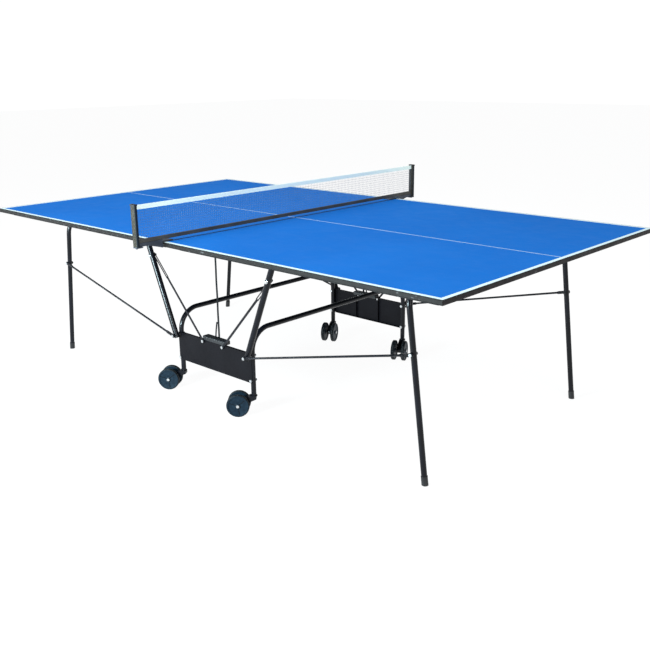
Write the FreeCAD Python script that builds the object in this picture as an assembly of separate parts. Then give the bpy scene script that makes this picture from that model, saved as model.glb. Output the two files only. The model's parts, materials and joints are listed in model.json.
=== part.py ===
"""Folding table-tennis table: a wheeled centre carriage carries two half-tops on swinging arms.

Millimetres. X runs along the 2740 mm length, Y across the width, Z up. The origin is on the
floor under the middle of the net. "near" is the -Y side, "far" the +Y side, "right" is +X.
Every length is set in the block of driving dimensions and the rest is worked out from it.
"""
import FreeCAD, Part
import math
import os

V = FreeCAD.Vector
UP = V(0, 0, 1)
ALONG_Y = V(0, 1, 0)
tiny = 0.01
SIDES = {"left": -1, "right": 1}
EDGES = {"near": -1, "far": 1}

# ---- playing surface
top_length = 2740.0
top_width = 1525.0
top_height = 760.0
centre_gap = 4.0
board_thickness = 16.0
trim_thickness = 3.0
trim_height = 18.0
trim_corner_round = 2.0
cut_past = 1.0

# ---- rails under each half
rail_width = 22.0
rail_depth = 20.0
rail_inset = 50.0
rail_centre_inset = 45.0

# ---- carriage
post_x = 240.0
post_y = top_width / 2 - 247.5
post_radius = 11.0
tube_wall = 1.5
post_foot = 90.0
hoop_height = 378.0
hoop_bend = 95.0
panel_sheet = 1.5
panel_bottom = 146.0
panel_top = 277.0
panel_overhang = 6.0
panel_flange = 13.0
panel_flange_gap = 2.0
panel_fit = 0.1
rib_thickness = 2.0
rib_depth = 11.0
rib_bolt_gap = 2.0

# ---- lower pivots on the carriage
arm_pivot_z = 266.0
panel_bolt_z = 156.0
strut_pivot_x = 66.0
strut_pivot_z = 270.0
bolt_radius = 4.0
running_fit = 0.05
bolt_hole_fit = 0.1
head_radius = 7.0
head_height = 5.0
nut_room = 1.0
collar_gap = 1.2

# ---- arms
arm_radius = 12.5
arm_gap = 0.5
arm_top_x = 428.0
hinge_drop = 36.0
arm_end = 11.0
stud_distance = 380.0
stud_radius = 3.0
stud_gap = 0.3
sleeve_wall = 2.5
weld_sink = 0.8

# ---- arm brackets under the halves
ear_thickness = 3.0
ear_gap = 2.0
ear_nose_radius = 11.0
ear_root_share = 0.8
bracket_half_length = 32.0
bracket_plate = 3.0
bracket_plate_side = 12.0

# ---- slotted struts
strut_thickness = 3.0
strut_gap = 1.4
strut_width = 14.0
strut_neck_width = 10.0
strut_eye_radius = 8.0
slot_radius = 3.3
slot_bolt_gap = 0.5
slot_head_radius = 6.0
slot_end_land = 4.0

# ---- folded for storage: the playing surfaces stand upright, this far off the net's plane
stored_half_gap = 20.0

# ---- folding legs
leg_radius = 11.0
leg_y = top_width / 2 - 214.5
leg_pivot_x = top_length / 2 - 295.0
leg_foot_x = leg_pivot_x + 94.0
leg_bend = 90.0
leg_saddle_y = leg_y - 128.0
saddle_length = 34.0
saddle_wall = 6.0
saddle_flange = 18.0
foot_cap_radius = leg_radius + 1.6
foot_cap_height = 34.0
foot_cap_floor = 5.0

# ---- leg rods
rod_radius = 4.5
rod_flat = 4.0
rod_gap = 1.0
rod_eye_radius = 9.0
rod_flat_length = 46.0
rod_flat_overlap = 12.0
rod_flat_share = 0.72
rod_leg_z = 477.0

# ---- latch
latch_length = 150.0
latch_depth = 36.0
latch_height = 18.0
latch_round = 6.0
strap_width = 12.0
strap_thickness = 2.4
strap_y = post_y - 16.0
strap_sink = 5.0
strap_head_gap = 0.5
latch_slot_gap = 2.0
latch_slot_half = 4.0
latch_slot_depth = 6.0
loop_height = 74.0
loop_spread = 19.0
loop_bar = 5.0

# ---- casters
wheel_radius = 50.0
wheel_width = 20.0
wheel_spacing = 52.0
wheel_round = 3.0
wheel_rim = 9.0
wheel_dish = 3.0
wheel_boss_radius = 11.0
caster_trail = 67.0
fork_width = 26.0
hub_radius = 13.0
fork_heel = 16.0
fork_nose = 6.0
fork_back_share = 0.5
fork_crown_share = 0.86
fork_belly_share = 0.7
axle_radius = 4.0
axle_head_radius = 6.5
axle_head = 3.0
axle_head_gap = 0.4
swivel_plate = 4.0
swivel_plate_rim = 4.0
swivel_gap = 0.5
stem_radius = 5.0
stem_height = 45.0
trail_angle = {
    ("near", "left"): 214.0,
    ("near", "right"): 221.0,
    ("far", "left"): 295.0,
    ("far", "right"): 295.0,
}

# ---- net
net_post_y = top_width / 2 + 122.5
net_post_x_size = 30.0
net_post_y_size = 14.0
net_post_flat = 2.0
net_top = top_height + 165.0
net_tape_drop = 2.0
net_tape_height = 18.0
net_tape_thickness = 4.0
net_thickness = 2.0
net_rail_bottom = top_height + 13.0
net_rail_height = 14.0
net_rail_width = 12.0
net_shelf = 4.0
net_post_clear = 0.3
peg_radius = 4.0
peg_fit = 0.08
peg_length = 8.0
net_shelf_drop = 2.0
net_shelf_inset = 2.0
net_shelf_reach = 8.0
net_bracket_sheet = 3.0
net_bracket_reach = 76.0
net_tab_length = 44.0
net_tab_depth = 50.0
net_web_gap = 1.0
net_web_rise = 11.0
net_arm_rise = 12.0
net_gusset = 70.0
net_jaw_start = 30.0
net_jaw_depth = 58.0

# ---- worked out from the above
board_bottom = top_height - board_thickness
hinge_z = top_height - hinge_drop
panel_inner = post_y + post_radius + panel_fit
panel_outer = panel_inner + panel_sheet
strut_inner = panel_outer + strut_gap
strut_outer = strut_inner + strut_thickness
arm_y = strut_outer + arm_gap + arm_radius
rod_inner = max(leg_y + leg_radius, arm_y + arm_radius) + rod_gap
rod_outer = rod_inner + rod_flat
arm_vector = V(arm_top_x - post_x, 0, hinge_z - arm_pivot_z)
arm_run = math.hypot(arm_top_x - post_x, hinge_z - arm_pivot_z)
leg_run = math.hypot(leg_foot_x - leg_pivot_x, hinge_z)
leg_lean = math.degrees(math.atan2(leg_foot_x - leg_pivot_x, hinge_z))
net_post_foot = top_height - net_shelf_drop


def save(name, *solids):
    shape = solids[0] if len(solids) == 1 else Part.makeCompound(list(solids))
    shape.exportStep(os.path.join("parts", name + ".step"))


def box(low, high):
    return Part.makeBox(high[0] - low[0], high[1] - low[1], high[2] - low[2], V(*low))


def cylinder(radius, start, end):
    axis = end - start
    return Part.makeCylinder(radius, axis.Length, start, axis)


def mirrored(shape, side, edge=1):
    """Copy a shape made for the right (+X) or far (+Y) side to the side asked for."""
    if side < 0:
        shape = shape.mirror(V(0, 0, 0), V(1, 0, 0))
    if edge < 0:
        shape = shape.mirror(V(0, 0, 0), V(0, 1, 0))
    return shape


def hoop_wire(half_width, height, bend):
    """Inverted U in the plane X = 0, with its feet at Z = 0 and its cross tube at Z = height."""
    k = bend * (1 - math.sqrt(0.5))
    points = {
        "foot_a": V(0, -half_width, 0),
        "side_a": V(0, -half_width, height - bend),
        "mid_a": V(0, -half_width + k, height - k),
        "top_a": V(0, -half_width + bend, height),
        "top_b": V(0, half_width - bend, height),
        "mid_b": V(0, half_width - k, height - k),
        "side_b": V(0, half_width, height - bend),
        "foot_b": V(0, half_width, 0),
    }
    p = points
    return Part.Wire([
        Part.LineSegment(p["foot_a"], p["side_a"]).toShape(),
        Part.Arc(p["side_a"], p["mid_a"], p["top_a"]).toShape(),
        Part.LineSegment(p["top_a"], p["top_b"]).toShape(),
        Part.Arc(p["top_b"], p["mid_b"], p["side_b"]).toShape(),
        Part.LineSegment(p["side_b"], p["foot_b"]).toShape(),
    ])


def hoop_tube(half_width, height, bend, radius):
    wire = hoop_wire(half_width, height, bend)

    def sweep(r):
        ring = Part.Wire(Part.Circle(V(0, -half_width, 0), UP, r).toShape())
        return wire.makePipeShell([ring], True, True)

    return sweep(radius).cut(sweep(radius - tube_wall))


def hex_prism(radius, base, height):
    """Hexagonal head or nut along +Y, with its base face at the point base."""
    corners = []
    for i in range(7):
        angle = math.radians(60 * i)
        corners.append(base + V(radius * math.cos(angle), 0, radius * math.sin(angle)))
    return Part.Face(Part.makePolygon(corners)).extrude(V(0, height, 0))


def cross_bolt(x, z, inner, outer, radius=bolt_radius):
    """Bolt along Y on the far side: nut inside, plain shank, hexagonal head outside."""
    shank = cylinder(radius, V(x, inner - head_height, z), V(x, outer, z))
    nut = hex_prism(head_radius, V(x, inner - head_height, z), head_height)
    head = hex_prism(head_radius, V(x, outer, z), head_height)
    return shank.fuse(nut).fuse(head).removeSplitter()


def cross_hole(x, z, radius, low, high):
    return cylinder(radius, V(x, low, z), V(x, high, z))


# ---------------------------------------------------------------- carriage

def carriage_hoop(side):
    tube = hoop_tube(post_y, hoop_height - post_foot, hoop_bend, post_radius)
    tube.translate(V(side * post_x, 0, post_foot))
    reach = post_y + post_radius + cut_past
    hole_radius = bolt_radius + bolt_hole_fit
    for z in (arm_pivot_z, panel_bolt_z):
        tube = tube.cut(cross_hole(side * post_x, z, hole_radius, -reach, reach))
    return tube


def panel():
    """Far side panel: a pressed sheet with flanges turned inwards and two ribs."""
    half = post_x + panel_overhang
    sheet = box((-half, panel_inner, panel_bottom), (half, panel_outer, panel_top))
    flange_half = post_x - post_radius - panel_flange_gap
    flange_inner = panel_outer - panel_flange
    lower = box((-flange_half, flange_inner, panel_bottom),
                (flange_half, panel_outer, panel_bottom + panel_sheet))
    upper = box((-flange_half, flange_inner, panel_top - panel_sheet),
                (flange_half, panel_outer, panel_top))
    shape = sheet.fuse(lower).fuse(upper)
    for x in (-strut_pivot_x, strut_pivot_x):
        rib_x = x + math.copysign(head_radius + rib_bolt_gap, x)
        rib = box((rib_x - rib_thickness / 2, panel_inner - rib_depth, panel_bottom),
                  (rib_x + rib_thickness / 2, panel_inner, panel_top))
        shape = shape.fuse(rib)
    hole_radius = bolt_radius + bolt_hole_fit
    spots = [(s * post_x, z) for s in (-1, 1) for z in (arm_pivot_z, panel_bolt_z)]
    spots += [(s * strut_pivot_x, strut_pivot_z) for s in (-1, 1)]
    for x, z in spots:
        shape = shape.cut(cross_hole(x, z, hole_radius, flange_inner - cut_past, panel_outer + cut_past))
    half_notch = head_radius + nut_room
    for x in (-strut_pivot_x, strut_pivot_x):
        notch = box((x - half_notch, flange_inner - cut_past, panel_top - panel_sheet - cut_past),
                    (x + half_notch, panel_inner, panel_top + cut_past))
        shape = shape.cut(notch)
    return shape.removeSplitter()


def panel_bolts():
    """The bolts at the panels' lower corners and the four bolts the struts turn on."""
    bolts = []
    for edge in EDGES.values():
        for side in SIDES.values():
            corner = cross_bolt(post_x, panel_bolt_z, post_y - post_radius, panel_outer)
            strut_head = strut_outer + slot_bolt_gap
            strut = cross_bolt(strut_pivot_x, strut_pivot_z, panel_inner, strut_head)
            bolts.append(mirrored(corner, side, edge))
            bolts.append(mirrored(strut, side, edge))
    return bolts


def pivot_bolts():
    """One bolt per post: post, panel, arm and leg rod all sit on it, with a collar inside the arm."""
    bolts = []
    collar_end = arm_y - arm_radius - collar_gap
    for edge in EDGES.values():
        for side in SIDES.values():
            bolt = cross_bolt(post_x, arm_pivot_z, post_y - post_radius, rod_outer + slot_bolt_gap)
            collar = cylinder(head_radius, V(post_x, panel_outer, arm_pivot_z),
                              V(post_x, collar_end, arm_pivot_z))
            bolts.append(mirrored(bolt.fuse(collar).removeSplitter(), side, edge))
    return bolts


def latch_side(shape, edge):
    """Place a latch piece: the near one serves the right half and the far one the left half."""
    return mirrored(shape, -edge, edge)


def latch_housing(edge):
    half = latch_length / 2
    top = panel_top + latch_height
    block = box((-half, panel_outer - latch_depth, panel_top), (half, panel_outer, top))
    edges = [e for e in block.Edges if e.BoundBox.ZMax > top - tiny]
    block = block.makeFillet(latch_round, edges)
    slot_end = centre_gap / 2 + strap_width + latch_slot_gap
    slot_low = (-loop_spread - latch_slot_gap, strap_y - latch_slot_half, top - latch_slot_depth)
    slot_high = (slot_end, strap_y + latch_slot_half, top + cut_past)
    return latch_side(block.cut(box(slot_low, slot_high)), edge)


def latch_strap(edge):
    """Webbing pull strap from the latch up to a half's inner edge, with a loop at its foot."""
    foot = panel_top + latch_height - strap_sink
    top = top_height - trim_height - strap_head_gap
    left = centre_gap / 2
    y_low = strap_y - strap_thickness / 2
    y_high = strap_y + strap_thickness / 2
    band = box((left, y_low, foot), (left + strap_width, y_high, top))
    knee = foot + loop_height
    outline = [
        V(left + loop_bar, y_low, knee),
        V(left, y_low, knee),
        V(-loop_spread, y_low, foot),
        V(-loop_spread + loop_bar, y_low, foot),
    ]
    leg = Part.Face(Part.makePolygon(outline + outline[:1])).extrude(V(0, strap_thickness, 0))
    return latch_side(band.fuse(leg).removeSplitter(), edge)


# ---------------------------------------------------------------- casters

def trail_frame(edge_name, side_name):
    """Post axis, unit vector of the trail and unit vector of the axle, for one caster at rest."""
    angle = math.radians(trail_angle[(edge_name, side_name)])
    axis = V(SIDES[side_name] * post_x, EDGES[edge_name] * post_y, 0)
    trail = V(math.cos(angle), math.sin(angle), 0)
    return axis, trail, trail.cross(UP)


def caster_fork(edge_name, side_name):
    """Stem in the post, swivel plate and a single web that runs back and down to the axle."""
    axis, trail, axle = trail_frame(edge_name, side_name)
    plate_top = post_foot - swivel_gap
    plate_low = plate_top - swivel_plate
    stem = cylinder(stem_radius, axis + UP * plate_low, axis + UP * (post_foot + stem_height))
    plate_radius = post_radius + swivel_plate_rim
    plate = cylinder(plate_radius, axis + UP * plate_low, axis + UP * plate_top)
    centre = axis + trail * caster_trail + UP * wheel_radius
    hub = cylinder(hub_radius, centre - axle * (fork_width / 2), centre + axle * (fork_width / 2))
    start = axis - axle * (fork_width / 2)
    back = hub_radius * fork_back_share
    crown = hub_radius * fork_crown_share
    belly = hub_radius * fork_belly_share
    outline = [
        start + trail * (-post_radius) + UP * plate_top,
        start + trail * (post_radius + fork_nose) + UP * plate_top,
        start + trail * (caster_trail + back) + UP * (wheel_radius + crown),
        start + trail * (caster_trail - belly) + UP * (wheel_radius - belly),
        start + trail * (-post_radius) + UP * (plate_top - fork_heel),
    ]
    web = Part.Face(Part.makePolygon(outline + outline[:1])).extrude(axle * fork_width)
    bore = cylinder(axle_radius, centre - axle * fork_width, centre + axle * fork_width)
    return stem.fuse(plate).fuse(web).fuse(hub).cut(bore).removeSplitter()


def caster_axle(edge_name, side_name):
    axis, trail, axle = trail_frame(edge_name, side_name)
    centre = axis + trail * caster_trail + UP * wheel_radius
    half = wheel_spacing / 2 + wheel_width / 2
    end = half + axle_head
    pin = cylinder(axle_radius, centre - axle * end, centre + axle * end)
    for sign in (-1, 1):
        inner = centre + axle * (sign * (half + axle_head_gap))
        outer = centre + axle * (sign * end)
        pin = pin.fuse(cylinder(axle_head_radius, inner, outer))
    return pin.removeSplitter()


def caster_wheel(edge_name, side_name, sign):
    axis, trail, axle = trail_frame(edge_name, side_name)
    centre = axis + trail * caster_trail + UP * wheel_radius + axle * (sign * wheel_spacing / 2)
    low = centre - axle * (wheel_width / 2)
    high = centre + axle * (wheel_width / 2)
    wheel = cylinder(wheel_radius, low, high)
    rims = [e for e in wheel.Edges if isinstance(e.Curve, Part.Circle)]
    wheel = wheel.makeFillet(wheel_round, rims)
    outer_face = centre + axle * (sign * wheel_width / 2)
    dish_floor = outer_face - axle * (sign * wheel_dish)
    dish = cylinder(wheel_radius - wheel_rim, dish_floor, outer_face + axle * (sign * cut_past))
    boss = cylinder(wheel_boss_radius, dish_floor, outer_face)
    wheel = wheel.cut(dish).fuse(boss)
    bore_radius = axle_radius + running_fit
    bore = cylinder(bore_radius, centre - axle * wheel_width, centre + axle * wheel_width)
    return wheel.cut(bore).removeSplitter()


# ---------------------------------------------------------------- arms, struts and rods

def arm_point(run):
    """Point on the far right arm's axis at a distance from its foot pivot, seen along Y."""
    return V(post_x, arm_y, arm_pivot_z) + arm_vector * (run / arm_run)


def arm(side, edge):
    """Arm tube with its two pivot bores and the bolt whose inner end faces the strut's slot."""
    start = arm_point(-arm_end)
    end = arm_point(arm_run + arm_end)
    tube = cylinder(arm_radius, start, end).cut(cylinder(arm_radius - tube_wall, start, end))
    for z_point in (arm_point(0), arm_point(arm_run)):
        reach = ALONG_Y * (arm_radius - tube_wall / 2)
        tube = tube.fuse(cylinder(bolt_radius + sleeve_wall, z_point - reach, z_point + reach))
    stud = arm_point(stud_distance)
    stud_outer = stud + ALONG_Y * (arm_radius + head_height)
    stud_inner = stud - ALONG_Y * arm_radius
    tube = tube.fuse(cylinder(stud_radius, stud_inner, stud_outer))
    head_base = stud + ALONG_Y * (arm_radius - weld_sink)
    tube = tube.fuse(hex_prism(head_radius, head_base, head_height + weld_sink))
    for point in (arm_point(0), arm_point(arm_run)):
        bore = cross_hole(point.x, point.z, bolt_radius + running_fit,
                          point.y - 2 * arm_radius, point.y + 2 * arm_radius)
        tube = tube.cut(bore)
    return mirrored(tube.removeSplitter(), side, edge)


def strut_axes():
    """Unit vector along the far right strut at rest, and how far its bolt is from the pivot.

    The bolt is at the slot's outer end in play and at its inner end when the half is stored.
    """
    stud = arm_point(stud_distance)
    direction = V(stud.x - strut_pivot_x, 0, stud.z - strut_pivot_z)
    reach = direction.Length
    stored_x = stored_half_gap + hinge_drop - post_x
    stored_z = math.sqrt(arm_run ** 2 - stored_x ** 2)
    share = stud_distance / arm_run
    stored_reach = math.hypot(post_x + stored_x * share - strut_pivot_x,
                              arm_pivot_z + stored_z * share - strut_pivot_z)
    return direction.normalize(), reach, stored_reach


def flat_bar(origin, direction, start, end, half_width, y_low, thickness):
    """Round-ended flat bar in the XZ plane between two distances from the origin."""
    across = V(-direction.z, 0, direction.x)
    base = V(origin.x, y_low, origin.z)
    a = base + direction * start
    b = base + direction * end
    aside = across * half_width
    corners = [a + aside, b + aside, b - aside, a - aside]
    bar = Part.Face(Part.makePolygon(corners + corners[:1])).extrude(V(0, thickness, 0))
    for point in (a, b):
        bar = bar.fuse(cylinder(half_width, point, point + ALONG_Y * thickness))
    return bar.removeSplitter()


def struts(side):
    direction, reach, slot_start = strut_axes()
    pivot = V(strut_pivot_x, 0, strut_pivot_z)
    neck = strut_neck_width / 2
    tail = flat_bar(pivot, direction, 0, slot_start, neck, strut_inner, strut_thickness)
    head = flat_bar(pivot, direction, slot_start - slot_end_land, reach + slot_end_land,
                    strut_width / 2, strut_inner, strut_thickness)
    eye = cylinder(strut_eye_radius, V(strut_pivot_x, strut_inner, strut_pivot_z),
                   V(strut_pivot_x, strut_outer, strut_pivot_z))
    low = strut_inner - cut_past
    slot = flat_bar(pivot, direction, slot_start, reach, slot_radius, low, strut_thickness + 2 * cut_past)
    bore_radius = bolt_radius + running_fit
    bore = cross_hole(strut_pivot_x, strut_pivot_z, bore_radius, low, strut_outer + cut_past)
    strut = tail.fuse(head).fuse(eye).cut(slot).cut(bore).removeSplitter()
    return [mirrored(strut, side, edge) for edge in EDGES.values()]


def slot_bolts(side):
    """Bolt that rides in each strut's slot, nut inwards; it stops just short of the arm's skin."""
    stud = arm_point(stud_distance)
    inner = strut_inner - slot_bolt_gap - head_height
    outer = arm_y - arm_radius - stud_gap
    shank = cylinder(stud_radius, V(stud.x, inner, stud.z), V(stud.x, outer, stud.z))
    nut = hex_prism(slot_head_radius, V(stud.x, inner, stud.z), head_height)
    bolt = shank.fuse(nut).removeSplitter()
    return [mirrored(bolt, side, edge) for edge in EDGES.values()]


def leg_point(z):
    """Point on the far right leg's axis at a height."""
    share = (hinge_z - z) / hinge_z
    return V(leg_pivot_x + (leg_foot_x - leg_pivot_x) * share, leg_y, z)


def rod_ends():
    foot = V(post_x, 0, arm_pivot_z)
    leg = leg_point(rod_leg_z)
    direction = V(leg.x - foot.x, 0, leg.z - foot.z)
    return foot, V(leg.x, 0, leg.z), direction.Length, direction.normalize()


def rods(side):
    foot, leg, length, direction = rod_ends()
    middle = V(0, rod_inner + rod_flat / 2, 0)
    flat_start = direction * (rod_flat_length - rod_flat_overlap)
    bar = cylinder(rod_radius, foot + middle + flat_start, leg + middle - flat_start)
    half = rod_eye_radius * rod_flat_share
    hole_radius = bolt_radius + running_fit
    for start, end in ((0, rod_flat_length), (length - rod_flat_length, length)):
        bar = bar.fuse(flat_bar(foot, direction, start, end, half, rod_inner, rod_flat))
    for point in (foot, leg):
        eye_low = V(point.x, rod_inner, point.z)
        bar = bar.fuse(cylinder(rod_eye_radius, eye_low, eye_low + ALONG_Y * rod_flat))
        bar = bar.cut(cross_hole(point.x, point.z, hole_radius,
                                 rod_inner - rod_radius, rod_outer + rod_radius))
    return [mirrored(bar.removeSplitter(), side, edge) for edge in EDGES.values()]


def rod_bolts(side):
    """Bolt in each rod's outer eye. It stops at the leg's skin, facing the leg's own stud."""
    point = rod_ends()[1]
    inner = rod_inner - rod_gap / 2
    outer = rod_outer + slot_bolt_gap
    shank = cylinder(bolt_radius, V(point.x, inner, point.z), V(point.x, outer, point.z))
    head = hex_prism(head_radius, V(point.x, outer, point.z), head_height)
    bolt = shank.fuse(head).removeSplitter()
    return [mirrored(bolt, side, edge) for edge in EDGES.values()]


# ---------------------------------------------------------------- half tops

def half_outline(side, inset, z_low, z_high):
    shape = box((centre_gap / 2 + inset, -top_width / 2 + inset, z_low),
                (top_length / 2 - inset, top_width / 2 - inset, z_high))
    return mirrored(shape, side)


def board(side):
    return half_outline(side, trim_thickness, board_bottom, top_height)


def edge_trim(side):
    low = top_height - trim_height
    outer = half_outline(side, 0, low, top_height)
    corners = [e for e in outer.Edges if abs(e.BoundBox.ZLength - trim_height) < tiny]
    outer = outer.makeFillet(trim_corner_round, corners)
    return outer.cut(half_outline(side, trim_thickness, low - cut_past, top_height + cut_past))


def rail_spots():
    """Centre lines of the cross rails under the right half."""
    first = centre_gap / 2 + rail_centre_inset + rail_width / 2
    last = top_length / 2 - rail_inset - rail_width / 2
    return [first, (arm_top_x + leg_pivot_x) / 2, last]


def channel(low, high, along):
    """Steel channel under the board, open downwards, running along X (0) or Y (1)."""
    shape = box(low, high)
    inner_low = list(low)
    inner_high = list(high)
    inner_low[2] -= cut_past
    inner_high[2] -= tube_wall
    other = 1 - along
    inner_low[other] += tube_wall
    inner_high[other] -= tube_wall
    inner_low[along] -= cut_past
    inner_high[along] += cut_past
    return shape.cut(box(inner_low, inner_high))


def rails(side):
    y_out = top_width / 2 - rail_inset
    z_low = board_bottom - rail_depth
    spots = rail_spots()
    x_first = spots[0] - rail_width / 2
    x_last = spots[-1] + rail_width / 2
    pieces = []
    for sign in (-1, 1):
        y_pair = sorted((sign * y_out, sign * (y_out - rail_width)))
        pieces.append(channel((x_first, y_pair[0], z_low), (x_last, y_pair[1], board_bottom), 0))
    y_in = y_out - rail_width
    for x in spots:
        low = (x - rail_width / 2, -y_in, z_low)
        high = (x + rail_width / 2, y_in, board_bottom)
        pieces.append(channel(low, high, 1))
    return [mirrored(piece, side) for piece in pieces]


def arm_brackets(side):
    """Plate with two ears under the board; the arm's top end turns between the ears."""
    ear_y = arm_radius + ear_gap
    brackets = []
    half = bracket_half_length
    plate_y = ear_y + ear_thickness + bracket_plate_side
    root = half * ear_root_share
    nose = ear_nose_radius
    root_z = board_bottom - bracket_plate
    plate = box((arm_top_x - half, arm_y - plate_y, board_bottom - bracket_plate),
                (arm_top_x + half, arm_y + plate_y, board_bottom))
    for sign in (-1, 1):
        y_pair = sorted((arm_y + sign * ear_y, arm_y + sign * (ear_y + ear_thickness)))
        corners = [
            V(arm_top_x - root, y_pair[0], root_z),
            V(arm_top_x + root, y_pair[0], root_z),
            V(arm_top_x + nose, y_pair[0], hinge_z),
            V(arm_top_x - nose, y_pair[0], hinge_z),
        ]
        ear = Part.Face(Part.makePolygon(corners + corners[:1])).extrude(V(0, ear_thickness, 0))
        end = cylinder(nose, V(arm_top_x, y_pair[0], hinge_z), V(arm_top_x, y_pair[1], hinge_z))
        plate = plate.fuse(ear).fuse(end)
    reach = plate_y + cut_past
    plate = plate.cut(cross_hole(arm_top_x, hinge_z, bolt_radius + bolt_hole_fit,
                                 arm_y - reach, arm_y + reach))
    plate = plate.removeSplitter()
    for edge in EDGES.values():
        brackets.append(mirrored(plate, side, edge))
    return brackets


def hinge_bolts(side):
    inner = arm_y - arm_radius - ear_gap - ear_thickness
    outer = arm_y + arm_radius + ear_gap + ear_thickness
    bolt = cross_bolt(arm_top_x, hinge_z, inner, outer)
    return [mirrored(bolt, side, edge) for edge in EDGES.values()]


def leg_saddles(side):
    """Blocks under the board that the leg hoop's cross tube turns in."""
    half = leg_radius + saddle_wall
    low = leg_saddle_y - saddle_length / 2
    high = low + saddle_length
    block = box((leg_pivot_x - half, low, hinge_z), (leg_pivot_x + half, high, board_bottom))
    barrel = cylinder(half, V(leg_pivot_x, low, hinge_z), V(leg_pivot_x, high, hinge_z))
    flange = box((leg_pivot_x - half - saddle_flange, low, board_bottom - bracket_plate),
                 (leg_pivot_x + half + saddle_flange, high, board_bottom))
    shape = block.fuse(barrel).fuse(flange)
    bore_radius = leg_radius + running_fit
    shape = shape.cut(cross_hole(leg_pivot_x, hinge_z, bore_radius, low - cut_past, high + cut_past))
    shape = shape.removeSplitter()
    return [mirrored(shape, side, edge) for edge in EDGES.values()]


# ---------------------------------------------------------------- legs

def leg_hoop(side):
    """Leg hoop, leaning outwards, with the stud that each rod's bolt meets."""
    lift = foot_cap_floor / math.cos(math.radians(leg_lean))
    tube = hoop_tube(leg_y, leg_run - lift, leg_bend, leg_radius)
    tube.translate(V(0, 0, lift - leg_run))
    tube.rotate(V(0, 0, 0), ALONG_Y, -leg_lean)
    tube.translate(V(leg_pivot_x, 0, hinge_z))
    point = leg_point(rod_leg_z)
    for sign in (-1, 1):
        inner = V(point.x, sign * (leg_y - leg_radius - head_height), point.z)
        outer = V(point.x, sign * (leg_y + leg_radius), point.z)
        tube = tube.fuse(cylinder(bolt_radius, inner, outer))
        nut_base = min(inner.y, sign * (leg_y - leg_radius + weld_sink))
        nut_height = head_height + weld_sink
        tube = tube.fuse(hex_prism(head_radius, V(point.x, nut_base, point.z), nut_height))
    return mirrored(tube.removeSplitter(), side)


def foot_caps(side):
    """Plastic cap on each leg, cut level with the floor."""
    caps = []
    direction = V(leg_foot_x - leg_pivot_x, 0, -hinge_z).normalize()
    foot = leg_point(0)
    start = foot - direction * foot_cap_height
    end = foot + direction * foot_cap_radius
    cap = cylinder(foot_cap_radius, start, end)
    reach = 2 * foot_cap_radius
    below_floor = box((foot.x - reach, foot.y - reach, -reach), (foot.x + reach, foot.y + reach, 0))
    socket_end = foot - direction * foot_cap_floor
    socket = cylinder(leg_radius, start, socket_end)
    cap = cap.cut(below_floor).cut(socket).removeSplitter()
    for edge in EDGES.values():
        caps.append(mirrored(cap, side, edge))
    return caps


# ---------------------------------------------------------------- net

def net_bracket():
    """Far net bracket: tab under the left board, web outside its edge, arm and shelf for the post."""
    sheet = net_bracket_sheet
    edge_y = top_width / 2
    under = top_height - trim_height
    x_low = -net_bracket_reach
    x_high = net_rail_width / 2
    web_low = edge_y + net_web_gap
    web_high = web_low + sheet
    post_inner = net_post_y - net_post_y_size / 2
    tab = box((x_low, edge_y - net_tab_depth, under - sheet), (x_low + net_tab_length, web_high, under))
    web = box((x_low, web_low, under - sheet), (x_high, web_high, top_height + net_web_rise))
    arm_block = box((-x_high, web_low, net_post_foot),
                    (x_high, post_inner - net_web_gap, top_height + net_arm_rise))
    corners = [
        V(-x_high, web_low, net_post_foot),
        V(-x_high, web_low + net_gusset, net_post_foot),
        V(-x_high, web_low, under - sheet),
    ]
    gusset = Part.Face(Part.makePolygon(corners + corners[:1])).extrude(V(2 * x_high, 0, 0))
    jaw = box((x_low + net_jaw_start, edge_y - net_jaw_depth, top_height),
              (-centre_gap, web_high, top_height + sheet))
    shelf_half = net_post_x_size / 2 - net_shelf_inset
    shelf = box((-shelf_half, net_post_y - net_post_y_size - net_shelf_reach, net_post_foot - net_shelf),
                (shelf_half, net_post_y + net_post_y_size / 2, net_post_foot))
    shape = tab.fuse(web).fuse(arm_block).fuse(gusset).fuse(jaw).fuse(shelf)
    hole = cylinder(peg_radius + peg_fit, V(0, net_post_y, net_post_foot - net_shelf - cut_past),
                    V(0, net_post_y, net_post_foot + cut_past))
    return shape.cut(hole).removeSplitter()


def net_post():
    """Far net post with the peg that drops into its bracket's shelf."""
    half_x = net_post_x_size / 2
    half_y = net_post_y_size / 2
    low = net_post_foot + net_post_clear
    post = box((-half_x, net_post_y - half_y, low), (half_x, net_post_y + half_y, net_top))
    uprights = [e for e in post.Edges if abs(e.BoundBox.ZLength - (net_top - low)) < tiny]
    post = post.makeFillet(half_y - net_post_flat, uprights)
    peg = cylinder(peg_radius, V(0, net_post_y, low - peg_length), V(0, net_post_y, low + cut_past))
    return post.fuse(peg).removeSplitter()


def net_span(half_thickness, z_low, z_high):
    reach = net_post_y - net_post_y_size / 2
    return box((-half_thickness, -reach, z_low), (half_thickness, reach, z_high))


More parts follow.
